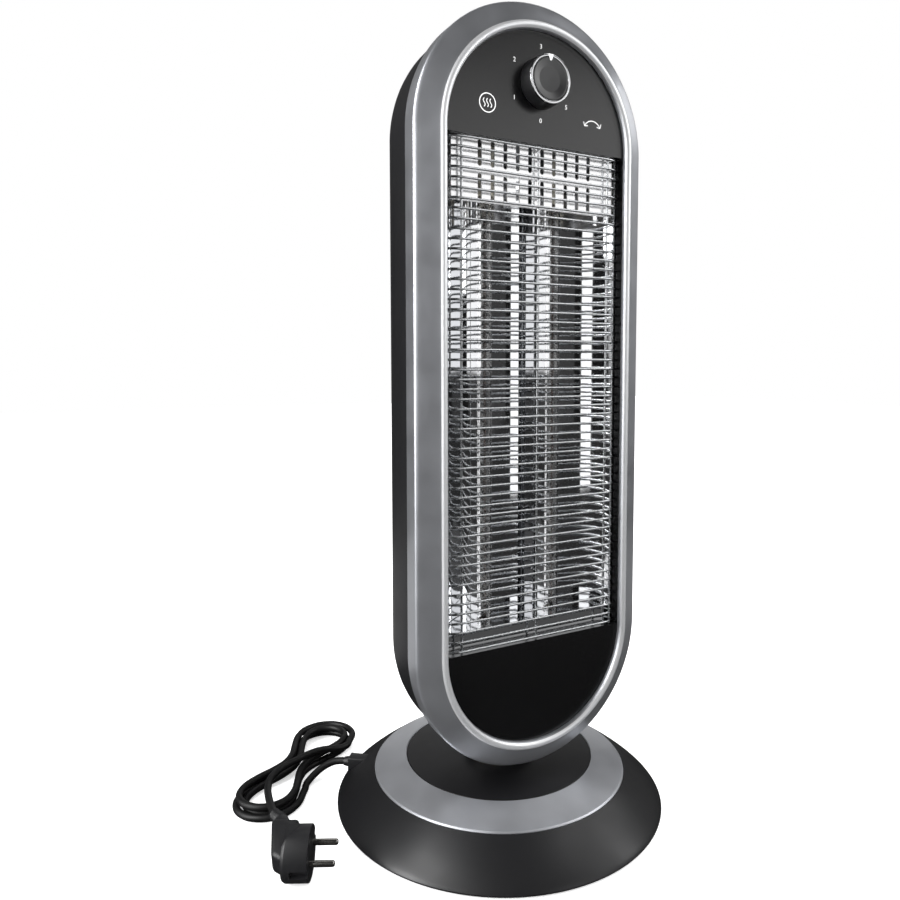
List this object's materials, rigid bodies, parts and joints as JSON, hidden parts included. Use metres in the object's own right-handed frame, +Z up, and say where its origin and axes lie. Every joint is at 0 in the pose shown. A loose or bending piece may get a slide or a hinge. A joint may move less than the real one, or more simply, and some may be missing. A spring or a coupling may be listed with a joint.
{
  "type": "infrared heater",
  "caption": "Free-standing oscillating infrared heater: tall oval head with quartz tubes behind a wire guard and a front dial, on a low round base, with a mains cord and plug.",
  "frame": {"origin": "middle of the round base, on the surface that the feet stand on", "axes": "+Z up; the head faces -Y at rest; +X is to the right for someone who looks at the front"},
  "size_m": [0.3613, 0.328, 0.6699],
  "materials": {
    "silver_paint": "satin silver paint",
    "satin_black": "satin moulded plastic",
    "inner_black": "plain moulded plastic",
    "gloss_black": "high gloss",
    "rubber_black": "matte",
    "cord_black": "satin flexible sheath",
    "chrome": "bright plating",
    "polished_sheet": "polished sheet",
    "steel": "plain",
    "quartz": "clear quartz",
    "heating_wire": "oxidised resistance wire",
    "ceramic": "unglazed white ceramic",
    "bronze": "plain bearing bronze",
    "nylon": "natural nylon"
  },
  "bodies": {
    "base": {"base_cover": "satin_black", "trim_ring": "silver_paint", "base_deck": "satin_black", "bottom_plate": "steel", "base_screw_1": "steel", "base_screw_2": "steel", "base_screw_3": "steel", "foot_right": "rubber_black", "foot_rear": "rubber_black", "foot_left": "rubber_black", "foot_front": "rubber_black", "ballast_ring": "steel", "bearing_bush": "bronze", "thrust_washer": "nylon", "swing_motor": "steel", "tip_switch": "inner_black", "plunger_spring": "steel", "base_lead": "cord_black", "cord_gland": "cord_black", "cord_hank": "cord_black", "cord_lead": "cord_black", "cord_tail": "cord_black", "plug_body": "cord_black", "plug_pin_1": "chrome", "plug_pin_2": "chrome", "plug_boot": "cord_black"},
    "head": {"spindle": "steel", "spindle_clip": "steel", "swing_lever": "steel", "neck_collar": "satin_black", "bezel": "silver_paint", "front_panel": "gloss_black", "rear_housing": "satin_black", "rear_screw_1": "steel", "rear_screw_2": "steel", "reflector": "polished_sheet", "lower_baffle": "polished_sheet", "upper_baffle": "steel", "lower_cap_left": "ceramic", "lower_cap_right": "ceramic", "upper_cap_left": "ceramic", "upper_cap_right": "ceramic", "tube_left": "quartz", "tube_right": "quartz", "filament_left": "heating_wire", "filament_right": "heating_wire", "grille": "chrome", "heat_shield": "polished_sheet", "rotary_switch": "inner_black", "terminal_block": "nylon", "thermal_cutout": "steel", "head_lead": "cord_black", "switch_lead": "cord_black"},
    "dial": {"knob": "gloss_black", "knob_ring": "chrome", "knob_shaft": "steel"},
    "crank": {"motor_shaft": "steel", "crank_arm": "nylon", "crank_pin": "steel"},
    "tip_button": {"tip_plunger": "nylon"}
  },
  "joints": [
    {"name": "head_swing", "type": "hinge", "parent": "base", "child": "head", "pos_m": [0, 0, 0.04], "axis": [0, 0, 1], "range_deg": [-35, 35]},
    {"name": "crank_turn", "type": "hinge", "parent": "base", "child": "crank", "pos_m": [0, 0.034, 0.023], "axis": [0, 0, 1], "range_deg": [-102, 102]},
    {"name": "knob_turn", "type": "hinge", "parent": "head", "child": "dial", "pos_m": [0, -0.0684, 0.6065], "axis": [0, 1, 0], "range_deg": [-180, 120]},
    {"name": "tip_plunger_slide", "type": "slide", "parent": "base", "child": "tip_button", "axis": [0, 0, -1], "range_m": [0, 0.0045], "stiffness_N_per_m": 120, "springref_m": 0.008, "deforming": ["plunger_spring"]}
  ],
  "couplings": [
    {"joint": "crank_turn", "follows": "head_swing", "ratio": 2.9}
  ]
}
